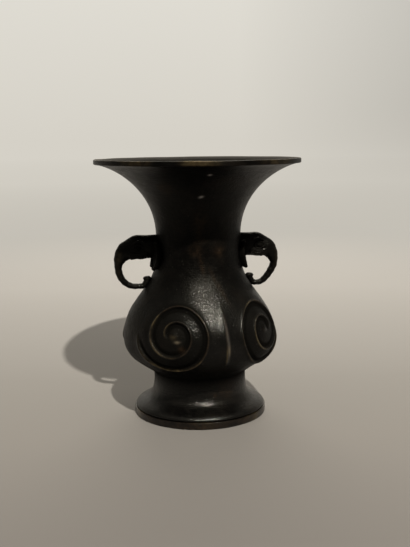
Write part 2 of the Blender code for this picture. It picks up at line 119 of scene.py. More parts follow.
def ramp(tree, factor, stops):
    """Colour ramp node over a factor, from (place, colour) stops."""
    node = add_node(tree, "ShaderNodeValToRGB", {}, {"Fac": factor})
    while len(node.color_ramp.elements) < len(stops):
        node.color_ramp.elements.new(0.5)
    for element, (place, colour) in zip(node.color_ramp.elements, stops):
        element.position = place
        element.color = (*colour, 1.0)
    return node.outputs["Color"]


def map_range(tree, kind, value, low, high, start, end):
    """A value between low and high carried to between start and end, evenly or by a smooth step."""
    return add_node(tree, "ShaderNodeMapRange", {"interpolation_type": kind}, {
        "Value": value, "From Min": low, "From Max": high, "To Min": start, "To Max": end}).outputs["Result"]


def calculate(tree, operation, first, second):
    """Sum, product or the like of two values."""
    return add_node(tree, "ShaderNodeMath", {"operation": operation}, {0: first, 1: second}).outputs["Value"]


def mix_colours(tree, factor, first, second):
    """Colour between a first and a second one, by a factor."""
    return add_node(tree, "ShaderNodeMix", {"data_type": "RGBA"}, {
        "Factor": factor, 6: first, 7: second}).outputs[2]


def darker_to_the_right(tree, direction, colour):
    """Painted shadow: colour that falls off softly where a look from the camera goes to the right and up."""
    sideways = add_node(tree, "ShaderNodeVectorMath", {"operation": "DOT_PRODUCT"}, {
        0: direction, 1: tuple(camera_right)}).outputs["Value"]
    upwards = add_node(tree, "ShaderNodeSeparateXYZ", {}, {"Vector": direction}).outputs["Z"]
    dark = map_range(tree, "LINEAR", sideways, SIDE_FROM, SIDE_TO, 0.0, SIDE_SHADE)
    lift = map_range(tree, "SMOOTHSTEP", upwards, LIFT_FROM, LIFT_TO, 0.0, 1.0)
    return mix_colours(tree, calculate(tree, "MULTIPLY", dark, lift), colour, BLACK)


def seen_share(tree, mirror_share):
    """All of what the camera sees, and a share of what is mirrored in a face or seen through one."""
    ray = add_node(tree, "ShaderNodeLightPath", {}, {}).outputs
    mirrored = calculate(tree, "MAXIMUM", ray["Is Glossy Ray"], ray["Is Transmission Ray"])
    reflected = calculate(tree, "MULTIPLY", mirrored, mirror_share)
    return calculate(tree, "MAXIMUM", ray["Is Camera Ray"], reflected)


def smooth(share):
    """Smooth step from 0 to 1 as the share goes from 0 to 1."""
    share = np.clip(share, 0.0, 1.0)
    return share * share * (3 - 2 * share)


def paper_points():
    """Grid of the sheet, by depth from near to far: its level is a smooth step up behind the vase."""
    rise = RISE_START + RISE_LENGTH * np.linspace(0.0, 1.0, RISE_STEPS)
    depth = np.concatenate(([-SHEET_HALF], rise, [SHEET_HALF]))[:, None, None]
    side = np.array((-SHEET_HALF, SHEET_HALF))[None, :, None]
    level = PAPER_RISE * smooth((depth - RISE_START) / RISE_LENGTH)
    return side * np.array(camera_right) - depth * np.array(to_camera) + level * np.array(upright)


sheet_grid = paper_points()
sheet_corners = np.arange(2 * len(sheet_grid)).reshape(-1, 2)
sheet_quads = np.column_stack((sheet_corners[:-1], sheet_corners[1:, ::-1]))
floor_mesh = bpy.data.meshes.new("paper_floor")
floor_mesh.from_pydata(sheet_grid.reshape(-1, 3).tolist(), [], sheet_quads.tolist())
floor_mesh.shade_smooth()
floor = bpy.data.objects.new("paper_floor", floor_mesh)
bpy.context.collection.objects.link(floor)

paper = bpy.data.materials.new("warm_grey_paper")
paper.use_nodes = True
tree = paper.node_tree
tree.nodes.clear()
place = add_node(tree, "ShaderNodeTexCoord", {}, {}).outputs["Object"]
turned_place = add_node(tree, "ShaderNodeVectorRotate", {"rotation_type": "Z_AXIS"}, {
    "Vector": place, "Angle": -CAMERA_TURN}).outputs["Vector"]
depth = add_node(tree, "ShaderNodeSeparateXYZ", {}, {"Vector": turned_place}).outputs["Y"]
distance = add_node(tree, "ShaderNodeVectorMath", {"operation": "LENGTH"}, {
    "Vector": place}).outputs["Value"]
camera_ray = add_node(tree, "ShaderNodeLightPath", {}, {}).outputs["Is Camera Ray"]
# The dark near end of the sheet is painted shade, only mirrored in the bronze: the camera sees it as at
# SEEN_REACH.
reach = map_range(tree, "LINEAR", depth, PAPER_NEAR, PAPER_FAR, 0.0, 1.0)
seen_reach = calculate(tree, "MAXIMUM", reach, calculate(tree, "MULTIPLY", camera_ray, SEEN_REACH))
sheet_colour = ramp(tree, seen_reach, [
    (0.0, (0.020, 0.019, 0.018)),
    (0.31, (0.080, 0.075, 0.076)),
    (0.35, (0.183, 0.172, 0.171)),
    (0.38, (0.198, 0.187, 0.186)),
    (0.46, (0.236, 0.224, 0.222)),
    (0.55, (0.266, 0.256, 0.256)),
    (0.70, (0.397, 0.388, 0.398)),
    (1.0, (0.500, 0.496, 0.515)),
])
sheet = add_node(tree, "ShaderNodeBsdfPrincipled", {}, {
    "Base Color": sheet_colour, "Roughness": PAPER_ROUGHNESS})
# The far glow is painted light: an unlit glow, paler with distance, with a painted soft shadow to the right.
glow_reach = map_range(tree, "LINEAR", distance, GLOW_NEAR, GLOW_FAR, 0.0, 1.0)
glow_colour = ramp(tree, glow_reach, [
    (0.0, (0.455, 0.425, 0.372)),
    (0.09, (0.550, 0.521, 0.462)),
    (0.34, (0.630, 0.600, 0.536)),
    (1.0, HORIZON_SHADE),
])
incoming = add_node(tree, "ShaderNodeNewGeometry", {}, {}).outputs["Incoming"]
look = add_node(tree, "ShaderNodeVectorMath", {"operation": "SCALE"}, {
    "Vector": incoming, "Scale": -1.0}).outputs["Vector"]
far_glow = add_node(tree, "ShaderNodeEmission", {}, {
    "Color": darker_to_the_right(tree, look, glow_colour)})
fade = map_range(tree, "SMOOTHSTEP", distance, FADE_NEAR, FADE_FAR, 0.0, 1.0)
mirror_share = map_range(tree, "SMOOTHSTEP", depth, MIRROR_NEAR, MIRROR_FAR, 0.0, MIRROR_GLOW)
far_share = calculate(tree, "MULTIPLY", fade, seen_share(tree, mirror_share))
blend = add_node(tree, "ShaderNodeMixShader", {}, {
    "Fac": far_share, 1: sheet.outputs["BSDF"], 2: far_glow.outputs["Emission"]})
add_node(tree, "ShaderNodeOutputMaterial", {}, {"Surface": blend.outputs["Shader"]})
floor_mesh.materials.append(paper)


# One small lamp stands high to the right of the camera and casts the shadow to the left, behind the
# vase. A wide window lights it from behind, and the room gives a little fill, paler behind the vase
# and at the ceiling.
KEY_TURN = math.radians(16.3)
KEY_RISE = math.radians(51.8)
KEY_DISTANCE = 1.92
KEY_SIZE = 0.045
KEY_POWER = 38.0
KEY_COLOUR = (1.0, 0.94, 0.80)
WINDOW_RISE = math.radians(42.0)
WINDOW_DISTANCE = 1.2
WINDOW_SIZE = 0.9
WINDOW_POWER = 6.6
WINDOW_COLOUR = (1.0, 0.93, 0.78)
ROOM_FRONT = 0.14
ROOM_BACK = 0.45
BACK_FROM = 0.25
BACK_TO = 0.90
ROOM_TOP = 0.15
TOP_FROM = 0.15
TOP_TO = 0.60
CEILING = 0.53
CEILING_FROM = 0.72
CEILING_TO = 0.97
UPPER_SHADE = (0.735, 0.710, 0.645)
UPPER_LEVEL = 0.16
PALE_FROM = 0.75
PALE_TO = 0.97
PALE_MIRRORED = 0.8


def lamp(name, place, size, power, colour):
    """Round soft lamp at a place, turned to the vase's foot, that lights but isn't seen itself."""
    light = bpy.data.lights.new(name, "AREA")
    light.shape = "DISK"
    light.size = size
    light.energy = power
    light.color = colour
    stand = bpy.data.objects.new(name, light)
    stand.location = place
    stand.rotation_euler = place.to_track_quat("Z", "Y").to_euler()
    stand.visible_camera = False
    bpy.context.collection.objects.link(stand)


key_level = to_camera * math.cos(KEY_TURN) + camera_right * math.sin(KEY_TURN)
key_place = (key_level * math.cos(KEY_RISE) + upright * math.sin(KEY_RISE)) * KEY_DISTANCE
window_place = (upright * math.sin(WINDOW_RISE) - to_camera * math.cos(WINDOW_RISE)) * WINDOW_DISTANCE
lamp("key_lamp", key_place, KEY_SIZE, KEY_POWER, KEY_COLOUR)
lamp("back_window", window_place, WINDOW_SIZE, WINDOW_POWER, WINDOW_COLOUR)

room = bpy.data.worlds.new("studio_room")
bpy.context.scene.world = room
room.use_nodes = True
tree = room.node_tree
tree.nodes.clear()
direction = add_node(tree, "ShaderNodeTexCoord", {}, {}).outputs["Generated"]
backwards = add_node(tree, "ShaderNodeVectorMath", {"operation": "DOT_PRODUCT"}, {
    0: direction, 1: tuple(-to_camera)}).outputs["Value"]
height = add_node(tree, "ShaderNodeSeparateXYZ", {}, {"Vector": direction}).outputs["Z"]
back_shade = map_range(tree, "SMOOTHSTEP", height, TOP_FROM, TOP_TO, ROOM_BACK, ROOM_TOP)
room_shade = map_range(tree, "SMOOTHSTEP", backwards, BACK_FROM, BACK_TO, ROOM_FRONT, back_shade)
ceiling_shade = map_range(tree, "SMOOTHSTEP", height, CEILING_FROM, CEILING_TO, 0.0, CEILING)
lit = add_node(tree, "ShaderNodeBackground", {}, {
    "Color": (*WINDOW_COLOUR, 1.0), "Strength": calculate(tree, "ADD", room_shade, ceiling_shade)})
upper_share = map_range(tree, "LINEAR", height, 0.0, UPPER_LEVEL, 0.0, 1.0)
pale_colour = ramp(tree, upper_share, [(0.0, HORIZON_SHADE), (1.0, UPPER_SHADE)])
# The pale background carries a painted soft shadow to the right and up.
pale = add_node(tree, "ShaderNodeBackground", {}, {
    "Color": darker_to_the_right(tree, direction, pale_colour), "Strength": 1.0})
mirror_share = map_range(tree, "SMOOTHSTEP", backwards, PALE_FROM, PALE_TO, 0.0, PALE_MIRRORED)
shown = add_node(tree, "ShaderNodeMixShader", {}, {
    "Fac": seen_share(tree, mirror_share), 1: lit.outputs["Background"], 2: pale.outputs["Background"]})
add_node(tree, "ShaderNodeOutputWorld", {}, {"Surface": shown.outputs["Shader"]})


# The foot is a hollow bronze casting: a waisted stem, a cushion moulding, a fine groove and an upright
# base band that is worn brown along its edge. It is turned clean after casting and patinated dark.
BASE_BAND = 0.0040
BASE_EDGE = 0.0007
GROOVE_RADIUS = 0.0377
CUSHION_EDGE_Z = 0.0048
CUSHION_EDGE_RADIUS = 0.0384
CUSHION_SLOPE = -0.1
STEM_RADIUS = 0.0272
FOOT_RING = 0.0035
PLATE_SEAT = 0.0051
CAST_WALL = 0.0026
HAIR = 0.0001
FOOT_SIDES = 256
FOOT_WAVER = 0.0025
WAVES = 6
WAVE_FINENESS = 220.0
WAVE_SHIFT = 1.7
SHARP_EDGE = math.radians(60.0)
BAND_SKIN = 0.0016
BAND_WEAR = 0.10
BAND_WEAR_SPREAD = 0.8
BAND_RUST = 0.55
STEM_SHADE = 0.6
STEM_SHADE_Z = 0.017
STEM_SHADE_OVER = 0.008
FOOT_BROWN = (0.0050, 0.0041, 0.0036)
FOOT_DULLNESS = 0.34
FOOT_WAX = 0.50
FOOT_STAINS = [
    (10.2, 0.0157, 0.0008, 0.0010, 0.0),
    (28.0, 0.0190, 0.0070, 0.0040, 0.0),
]

foot_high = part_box("foot_casting")[1]
base_radius = foot_high[0]
foot_top = foot_high[2]
FOOT_STATIONS = [
    (CUSHION_EDGE_Z, CUSHION_EDGE_RADIUS),
    (0.0070, 0.0364),
    (0.0092, 0.0324),
    (0.0116, 0.0294),
    (0.0150, 0.0279),
    (0.0200, STEM_RADIUS),
    (foot_top, STEM_RADIUS),
]


def clamped_spline(stations, start_slope, end_slope):
    """Radius as a smooth cubic of height through (height, radius) stations with given end slopes."""
    heights, radii = np.array(stations).T
    steps = np.diff(heights)
    rises = np.diff(radii) / steps
    system = np.eye(len(heights))
    wanted = np.array([start_slope, *np.zeros(len(heights) - 2), end_slope])
    for row in range(1, len(heights) - 1):
        before, after = 1.0 / steps[row - 1], 1.0 / steps[row]
        system[row, row - 1:row + 2] = before, 2.0 * (before + after), after
        wanted[row] = 3.0 * (rises[row - 1] * before + rises[row] * after)
    slopes = np.linalg.solve(system, wanted)

    def radius(height):
        span = np.clip(np.searchsorted(heights, height) - 1, 0, len(steps) - 1)
        share = (height - heights[span]) / steps[span]
        start = radii[span] * (1 + 2 * share) + slopes[span] * steps[span] * share
        end = radii[span + 1] * (3 - 2 * share) - slopes[span + 1] * steps[span] * (1 - share)
        return start * (1 - share) ** 2 + end * share ** 2

    return radius


def curve(radius, start, end, count):
    """Outline points (radius, height) of a radius function between two heights."""
    heights = np.linspace(start, end, count)
    return np.column_stack((radius(heights), heights))


def straight(start, end, count):
    """Outline points (radius, height) along a straight line, both ends included."""
    return np.linspace(start, end, count)


def corner(centre, size, start, end, count):
    """Outline points (radius, height) round a corner's arc, from one bearing in degrees to another."""
    bearing = np.radians(np.linspace(start, end, count))
    return np.column_stack((centre[0] + size * np.cos(bearing), centre[1] + size * np.sin(bearing)))


def run_of(line):
    """Direction of a line at each of its points, one unit long."""
    along = np.gradient(line, axis=0)
    return along / np.linalg.norm(along, axis=1)[:, None]


def inset(outline, distance):
    """An outline moved square to itself into the wall by a distance."""
    along = run_of(outline)
    return outline + distance * np.column_stack((-along[:, 1], along[:, 0]))


def spin(outline, sides):
    """Turned surface: each (radius, height) outline point carried round Z from the front, to the right."""
    angle = np.linspace(0.0, 2 * math.pi, sides, endpoint=False)
    radius, height = outline[:, :1], outline[:, 1:]
    return np.stack((radius * np.sin(angle), -radius * np.cos(angle), height + 0 * angle), axis=-1)


def from_axis(points):
    """Distance of each point from the vase's axis."""
    return np.hypot(points[..., 0], points[..., 1])


def turn_of(points):
    """Angle of each point round the vase's axis, from the front to the right."""
    return np.arctan2(points[..., 0], -points[..., 1])


def wrapped(angle):
    """The same angle, brought to within half a turn of zero."""
    return np.mod(angle + math.pi, 2 * math.pi) - math.pi


def uneven(grid, seed, size):
    """Slow unevenness of a hand-finished casting: a few sine waves over the place, of a given size."""
    waves = np.random.default_rng(seed).normal(size=(WAVES, 3))
    waves *= WAVE_FINENESS / np.linalg.norm(waves, axis=1)[:, None]
    phases = np.arange(WAVES) * WAVE_SHIFT + seed
    return size * np.mean(np.sin(grid @ waves.T + phases), axis=-1)


def paint(mesh, attributes):
    """Store one value per point of the mesh for each named attribute."""
    for key, values in attributes.items():
        layer = mesh.attributes.new(key, "FLOAT", "POINT")
        layer.data.foreach_set("value", np.ravel(values).astype(np.float32))


def surface(name, grid, attributes):
    """Object from a grid of points that closes both ways, with one value per point for each attribute."""
    rows, columns = grid.shape[:2]
    index = np.arange(rows * columns).reshape(rows, columns)
    across, up = np.roll(index, -1, axis=1), np.roll(index, -1, axis=0)
    beyond = np.roll(up, -1, axis=1)
    quads = np.stack((index, across, beyond, up), axis=-1).reshape(-1, 4)
    mesh = bpy.data.meshes.new(name)
    mesh.from_pydata(grid.reshape(-1, 3).tolist(), [], quads.tolist())
    paint(mesh, attributes)
    mesh.shade_smooth()
    mesh.set_sharp_from_angle(angle=SHARP_EDGE)
    piece = bpy.data.objects.new(name, mesh)
    bpy.context.collection.objects.link(piece)
    return piece


SOOT_BLACK = (0.0013, 0.0012, 0.0013)
BROWN_BLACK = (0.0019, 0.0017, 0.0017)
OLIVE_FILM = (0.0066, 0.0060, 0.0053, 1.0)
DIRT_AND_PAINTED_SHADE = (0.0013, 0.0012, 0.0011, 1.0)
RUST_BROWN = (0.020, 0.012, 0.007, 1.0)
RED_BRONZE = (0.095, 0.058, 0.031, 1.0)
GOLDEN_BRONZE = (0.140, 0.108, 0.054, 1.0)
PALE_DUST = (0.20, 0.19, 0.17, 1.0)
DUST_AND_PAINTED_HIGHLIGHT = (0.36, 0.34, 0.33, 1.0)
DIRT_AND_SHADE_COVER = 0.75
DIRT_AND_SHADE_DULLNESS = 0.55
FILM_DULLNESS = 0.16
WEAR_POLISH = -0.12
BARE_METAL = 0.50
BRUSH_STRETCH = (0.07, 0.07, 1.0)
BRUSH_DEPTH = 0.00024
DENT_DEPTH = 0.00030
PIT_DEPTH = 0.00023
WAX_ROUGHNESS = 0.11
SHINE = 0.085
SHINE_COLOUR = (1.0, 0.97, 0.86, 1.0)


def noise(tree, vector, scale, detail, roughness):
    """Cloudy noise over a place, finer with a greater scale."""
    return add_node(tree, "ShaderNodeTexNoise", {}, {
        "Vector": vector, "Scale": scale, "Detail": detail, "Roughness": roughness}).outputs["Fac"]


def patinated_bronze(name, brown, dullness):
    """Dark patina over bronze: black-brown in slow clouds, an olive film, and golden metal where worn.

    The wear attribute polishes the surface and bares the metal in patches. The hollow attribute holds dull
    dirt and painted shade, stain is rust brown, and pale is dust on the rim and painted highlights and
    glints elsewhere. Fine specks of dust lie all over.
    Pits, level brush lines and soft dents are bump, and a thin coat of wax, by its attribute, gives
    the lights a bright core.
    """
    material = bpy.data.materials.new(name)
    material.use_nodes = True
    tree = material.node_tree
    shader = tree.nodes["Principled BSDF"]
    place = add_node(tree, "ShaderNodeTexCoord", {}, {}).outputs["Object"]

    def painted(key):
        return add_node(tree, "ShaderNodeAttribute", {"attribute_name": key}, {}).outputs["Fac"]

    def stretch(factor, low, high, start, end):
        return map_range(tree, "LINEAR", factor, low, high, start, end)

    def mix(factor, first, second):
        return mix_colours(tree, factor, first, second)

    def times(first, second):
        return add_node(tree, "ShaderNodeMath", {"operation": "MULTIPLY", "use_clamp": True}, {
            0: first, 1: second}).outputs["Value"]

    def bump(strength, depth, height, **below):
        return add_node(tree, "ShaderNodeBump", {}, {
            "Strength": strength, "Distance": depth, "Height": height, **below}).outputs["Normal"]

    wear = painted("wear")
    hollow = painted("hollow")
    stain = painted("stain")
    pale = painted("pale")
    wax = painted("wax")
    level_lines = add_node(tree, "ShaderNodeVectorMath", {"operation": "MULTIPLY"}, {
        0: place, 1: BRUSH_STRETCH}).outputs["Vector"]
    clouds = noise(tree, place, 48.0, 4.0, 0.6)
    film = noise(tree, place, 260.0, 5.0, 0.65)
    specks = noise(tree, place, 620.0, 2.0, 0.5)
    grains = noise(tree, place, 1080.0, 3.0, 0.6)
    brushing = noise(tree, level_lines, 1300.0, 2.0, 0.5)

    ground = ramp(tree, clouds, [(0.36, SOOT_BLACK), (0.52, BROWN_BLACK), (0.68, brown)])
    filmed = mix(stretch(film, 0.48, 0.78, 0.0, 0.55), ground, OLIVE_FILM)
    # Dirt and painted shade darken the colour where the hollow attribute says.
    dirt_and_shade = mix(times(hollow, DIRT_AND_SHADE_COVER), filmed, DIRT_AND_PAINTED_SHADE)
    rusty = mix(times(stain, stretch(film, 0.38, 0.62, 0.15, 1.0)), dirt_and_shade, RUST_BROWN)
    patches = times(stretch(clouds, 0.44, 0.60, 0.35, 1.0), stretch(film, 0.38, 0.60, 0.25, 1.0))
    bared = times(wear, patches)
    metal = mix(stretch(clouds, 0.40, 0.62, 0.0, 1.0), RED_BRONZE, GOLDEN_BRONZE)
    dusted = mix(stretch(specks, 0.70, 0.78, 0.0, 0.10), mix(bared, rusty, metal), PALE_DUST)
    # Pale paints dust, and painted highlights and glints, onto the colour.
    tree.links.new(mix(pale, dusted, DUST_AND_PAINTED_HIGHLIGHT), shader.inputs["Base Color"])

    dull = stretch(film, 0.30, 0.75, dullness, dullness + FILM_DULLNESS)
    polished = add_node(tree, "ShaderNodeMath", {"operation": "MULTIPLY_ADD"}, {
        0: wear, 1: WEAR_POLISH, 2: dull}).outputs["Value"]
    rough = add_node(tree, "ShaderNodeMath", {"operation": "MULTIPLY_ADD", "use_clamp": True}, {
        0: hollow, 1: DIRT_AND_SHADE_DULLNESS, 2: polished}).outputs["Value"]
    tree.links.new(rough, shader.inputs["Roughness"])
    tree.links.new(times(bared, BARE_METAL), shader.inputs["Metallic"])

    dents = bump(0.60, DENT_DEPTH, film)
    lines = bump(0.45, BRUSH_DEPTH, brushing, Normal=dents)
    pits = bump(1.0, PIT_DEPTH, grains, Normal=lines)
    tree.links.new(pits, shader.inputs["Normal"])
    tree.links.new(pits, shader.inputs["Coat Normal"])
    tree.links.new(times(wax, stretch(hollow, 0.0, 0.6, 1.0, 0.0)), shader.inputs["Coat Weight"])
    shader.inputs["Coat Roughness"].default_value = WAX_ROUGHNESS
    shader.inputs["Specular Tint"].default_value = SHINE_COLOUR
    shader.inputs["Specular IOR Level"].default_value = SHINE
    return material


def marks(grid, places):
    """Soft marks on a turned surface: each is (turn in degrees, height, half width, half height, lean)."""
    turn = turn_of(grid)
    radius = from_axis(grid)
    total = np.zeros(grid.shape[:2])
    for mark_turn, height, half_width, half_height, lean in places:
        up = grid[..., 2] - height
        across = wrapped(turn - math.radians(mark_turn)) * radius - lean * up
        total += np.exp(-(across / half_width) ** 2 - (up / half_height) ** 2)
    return np.clip(total, 0.0, 1.0)


def dress(piece, material, nodes):
    """Give a piece its finish, let it ride on the vase, and hide the solids it stands for."""
    piece.data.materials.append(material)
    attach(piece, "root")
    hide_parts(*nodes)


foot_radius = clamped_spline(FOOT_STATIONS, CUSHION_SLOPE, 0.0)
recess = base_radius - FOOT_RING
stem_bore = STEM_RADIUS - CAST_WALL
band_edge = base_radius - BASE_EDGE
upper_edge = BASE_EDGE / 2
cushion = curve(foot_radius, CUSHION_EDGE_Z, foot_top, 70)
cavity = inset(cushion, CAST_WALL)
in_recess = (cavity[:, 0] < recess - 4 * HAIR) & (cavity[:, 1] > PLATE_SEAT + 4 * HAIR)
cavity = cavity[in_recess & (cavity[:, 0] > stem_bore)]
foot_outline = np.concatenate((
    straight((recess, 0.0), (band_edge, 0.0), 5)[:-1],
    corner((band_edge, BASE_EDGE), BASE_EDGE, -90, 0, 6)[:-1],
    straight((base_radius, BASE_EDGE), (base_radius, BASE_BAND - upper_edge), 8)[:-1],
    corner((base_radius - upper_edge, BASE_BAND - upper_edge), upper_edge, 0, 90, 5),
    straight((band_edge, BASE_BAND), (GROOVE_RADIUS, BASE_BAND + HAIR), 3),
    straight((GROOVE_RADIUS - HAIR, BASE_BAND + 3 * HAIR),
             (CUSHION_EDGE_RADIUS - 2 * HAIR, CUSHION_EDGE_Z - 2 * HAIR), 3),
    cushion,
    straight((STEM_RADIUS - 3 * HAIR, foot_top), (stem_bore, foot_top), 3),
    straight((stem_bore, foot_top - 5 * HAIR), (stem_bore, cavity[-1, 1] + 4 * HAIR), 5),
    cavity[::-2],
    straight((cavity[0, 0], PLATE_SEAT), (recess, PLATE_SEAT), 3),
    straight((recess, PLATE_SEAT - 4 * HAIR), (recess, 4 * HAIR), 6),
))
foot_grid = spin(foot_outline, FOOT_SIDES)
foot_grid[..., :2] *= 1.0 + uneven(foot_grid, seed=3, size=FOOT_WAVER)[..., None]
foot_z = foot_grid[..., 2]
outside = from_axis(foot_grid) > base_radius - BAND_SKIN
rubbed_band = outside & (foot_z < BASE_BAND + 2 * HAIR)
foot_wear = np.where(rubbed_band, BAND_WEAR + uneven(foot_grid, seed=5, size=BAND_WEAR_SPREAD), 0.0)
groove = (foot_z > BASE_BAND) & (foot_z < CUSHION_EDGE_Z)
# Painted shade darkens and dulls the upper stem, under the belly.
stem_shade = STEM_SHADE * np.clip((foot_z - STEM_SHADE_Z) / STEM_SHADE_OVER, 0, 1)
foot_hollow = np.where(groove, 1.0, 0.0) + np.where(outside, 0.0, stem_shade)
foot_stain = marks(foot_grid, FOOT_STAINS) + BAND_RUST * (outside & (foot_z < BASE_BAND))
foot = surface("foot", foot_grid, {
    "wear": np.clip(foot_wear, 0, 1),
    "hollow": np.clip(foot_hollow, 0, 1),
    "stain": np.clip(foot_stain, 0, 1),
    "wax": np.full(foot_z.shape, FOOT_WAX),
})
foot_patina = patinated_bronze("foot_patina", FOOT_BROWN, FOOT_DULLNESS)
dress(foot, foot_patina, ["foot_casting"])


# The belly is a hollow bronze casting, soldered into the foot, with two mirrored pairs of scrolls in relief,
# front and back, and an upright bar in each pair. The wall swells up to each spiral ridge outside and drops
# to a channel inside.
belly_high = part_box("belly_casting")[1]
neck_seam = belly_high[2]
NECK_RADIUS = 0.0247
NECK_WAIST_Z = 0.1040
BODY_STATIONS = [
    (foot_top, STEM_RADIUS),
    (0.0345, 0.0398),
    (0.0465, 0.0450),
    (0.0580, 0.0426),
    (0.0700, 0.0354),
    (0.0820, 0.0276),
    (NECK_WAIST_Z, NECK_RADIUS),
]
BODY_SLOPE = 1.0
SCROLL_PAIRS = 2
PAIR_TURN = math.radians(11.5)
SCROLL_OFFSET = math.radians(38.3)
SCROLL_Z = 0.0548
SCROLL_RADIUS = 0.0235
SCROLL_STEP = 0.0092
SCROLL_TURNS = 2.1
SCROLL_START_FADE = 0.07
SCROLL_END_FADE = 0.18
SCROLL_TAIL = 0.0020
SCROLL_TAIL_FADE = 10.0
SCROLL_REACH = 0.0400
SCROLL_DIRT = 0.46
SCROLL_DIRT_OVER = 0.006
RIDGE_HEIGHT = 0.0008
RIDGE_EDGE = 0.0010
SWELL = 0.0019
CREST = 0.00034
CREST_FLAT = 0.0005
BEAD_HEIGHT = 0.00025
BEAD_HALF = 0.0007
CHANNEL_DEPTH = 0.0010
CHANNEL_REACH = 0.0030
CHANNEL_MIDDLE = 0.0018
CHANNEL_HALF = 0.0010
BOSS_RADIUS = 0.0034
BOSS_SHARE = 0.6
BAR_TOP = 0.0710
BAR_TOP_FADE = 0.010
BAR_BOTTOM = 0.0360
BAR_BOTTOM_FADE = 0.005
BAR_SWELL = 0.0018
BAR_WEAR_AND_HIGHLIGHT = 3.4
WORN_BELOW = 0.0570
WORN_OVER = 0.010
WEAR_ABOVE = 0.6

body_radius = clamped_spline(BODY_STATIONS, BODY_SLOPE, 0.0)


def ridge(side):
    """Height of the wall beside a ridge: a flat crest with a bead, a swell outside, a channel inside."""
    outer = np.exp(-np.maximum(side - CREST_FLAT, 0.0) / SWELL)
    inner = np.maximum(-side, 0.0)
    drop = smooth(inner / RIDGE_EDGE)
    channel = drop * np.exp(-inner / CHANNEL_REACH)
    bead = BEAD_HEIGHT * np.exp(-((side - CREST_FLAT / 2) / BEAD_HALF) ** 4)
    return RIDGE_HEIGHT * np.where(side > 0, outer, 1.0 - drop) - CHANNEL_DEPTH * channel + bead


def scroll_relief(angle, height):
    """Relief of the belly: its height, its worn crests and its hollows at angles and heights.

    Near the middle of a scroll the wall is unrolled flat: across by the arc round the belly, up by the
    length of the wall. The spiral's reach falls evenly with each turn, from a wider tail at the outer side.
    """
    levels = np.linspace(foot_top, neck_seam, 500)
    lengths = np.concatenate(([0.0], np.cumsum(np.hypot(np.diff(levels), np.diff(body_radius(levels))))))
    up = np.interp(height, levels, lengths) - np.interp(SCROLL_Z, levels, lengths)
    middle = body_radius(SCROLL_Z)
    relief = 0 * (angle + height)
    wear = np.zeros_like(relief)
    hollow = np.zeros_like(relief)
    for count in range(SCROLL_PAIRS):
        swing = wrapped(angle - (PAIR_TURN + count * 2 * math.pi / SCROLL_PAIRS))
        for mirror in (-1, 1):
            across = (SCROLL_OFFSET - mirror * swing) * middle
            reach = np.hypot(across, up)
            near = reach < SCROLL_REACH
            bearing = np.mod(np.arctan2(up, across) - math.pi, 2 * math.pi) / (2 * math.pi)
            for lap in range(math.ceil(SCROLL_TURNS) + 1):
                turn = bearing + lap
                spiral = SCROLL_RADIUS - SCROLL_STEP * turn + SCROLL_TAIL * np.exp(-SCROLL_TAIL_FADE * turn)
                begun = smooth(turn / SCROLL_START_FADE)
                share = begun * smooth((SCROLL_TURNS - turn) / SCROLL_END_FADE) * near
                side = reach - spiral
                relief += share * ridge(side)
                wear += share * np.exp(-((side - CREST_FLAT / 2) / CREST) ** 2)
                hollow += share * np.exp(-((side + CHANNEL_MIDDLE) / CHANNEL_HALF) ** 2)
            boss = smooth(1.0 - reach / BOSS_RADIUS)
            relief += BOSS_SHARE * boss * RIDGE_HEIGHT
            hollow += SCROLL_DIRT * smooth((SCROLL_RADIUS - reach) / SCROLL_DIRT_OVER)
            wear += boss * smooth(0.5 - up / BOSS_RADIUS)
        bar = np.abs(swing) * middle
        share = smooth((BAR_TOP - height) / BAR_TOP_FADE) * smooth((height - BAR_BOTTOM) / BAR_BOTTOM_FADE)
        swell = RIDGE_HEIGHT * np.exp(-bar / BAR_SWELL)
        bead = BEAD_HEIGHT * np.exp(-(bar / BEAD_HALF) ** 2)
        relief += share * (swell + bead)
        # The bar's crest wear is real gold wear, raised high so that it also paints a bright highlight along
        # the bar.
        wear += BAR_WEAR_AND_HIGHLIGHT * share * np.exp(-(bar / CREST) ** 2)
    worn = WEAR_ABOVE + (1.0 - WEAR_ABOVE) * smooth((WORN_BELOW - height) / WORN_OVER)
    return relief, wear * worn, hollow * np.clip(1.0 - wear, 0, 1)


SPIGOT_LENGTH = 0.0055
SPIGOT_WALL = 0.0015
FIT = 0.0003
SEAM = 0.00004
SOLDER = 0.0015
BELLY_SIDES = 620
RELIEF_LOW = 0.0330
RELIEF_HIGH = 0.0730
RELIEF_TOP_FADE = 0.004
RELIEF_FOOT_FADE = 0.003
BELLY_WAVER = 0.00022

neck_bore = NECK_RADIUS - CAST_WALL
socket = neck_bore + SPIGOT_WALL + FIT
socket_end = neck_seam - SPIGOT_LENGTH - FIT - SOLDER
spigot_radius = stem_bore - FIT
spigot_bore = spigot_radius - SPIGOT_WALL
spigot_end = foot_top - SPIGOT_LENGTH
belly_foot = foot_top + SEAM
wall = np.concatenate((
    curve(body_radius, belly_foot, RELIEF_LOW, 12)[:-1],
    curve(body_radius, RELIEF_LOW, RELIEF_HIGH, 100)[:-1],
    curve(body_radius, RELIEF_HIGH, neck_seam, 18),
))
wall_z = wall[:, 1:]
cavity = inset(curve(body_radius, belly_foot, neck_seam, 22), CAST_WALL)
cavity = cavity[(cavity[:, 0] > spigot_bore) & (cavity[:, 1] < socket_end - FIT)]
belly_outline = np.concatenate((
    wall,
    straight((wall[-1, 0] - 3 * HAIR, neck_seam), (socket, neck_seam), 2),
    straight((socket, neck_seam - 5 * HAIR), (socket, socket_end), 3),
    cavity[::-1],
    straight((spigot_bore, foot_top), (spigot_bore, spigot_end), 3),
    straight((spigot_radius, spigot_end), (spigot_radius, belly_foot), 3),
))
belly_grid = spin(belly_outline, BELLY_SIDES)
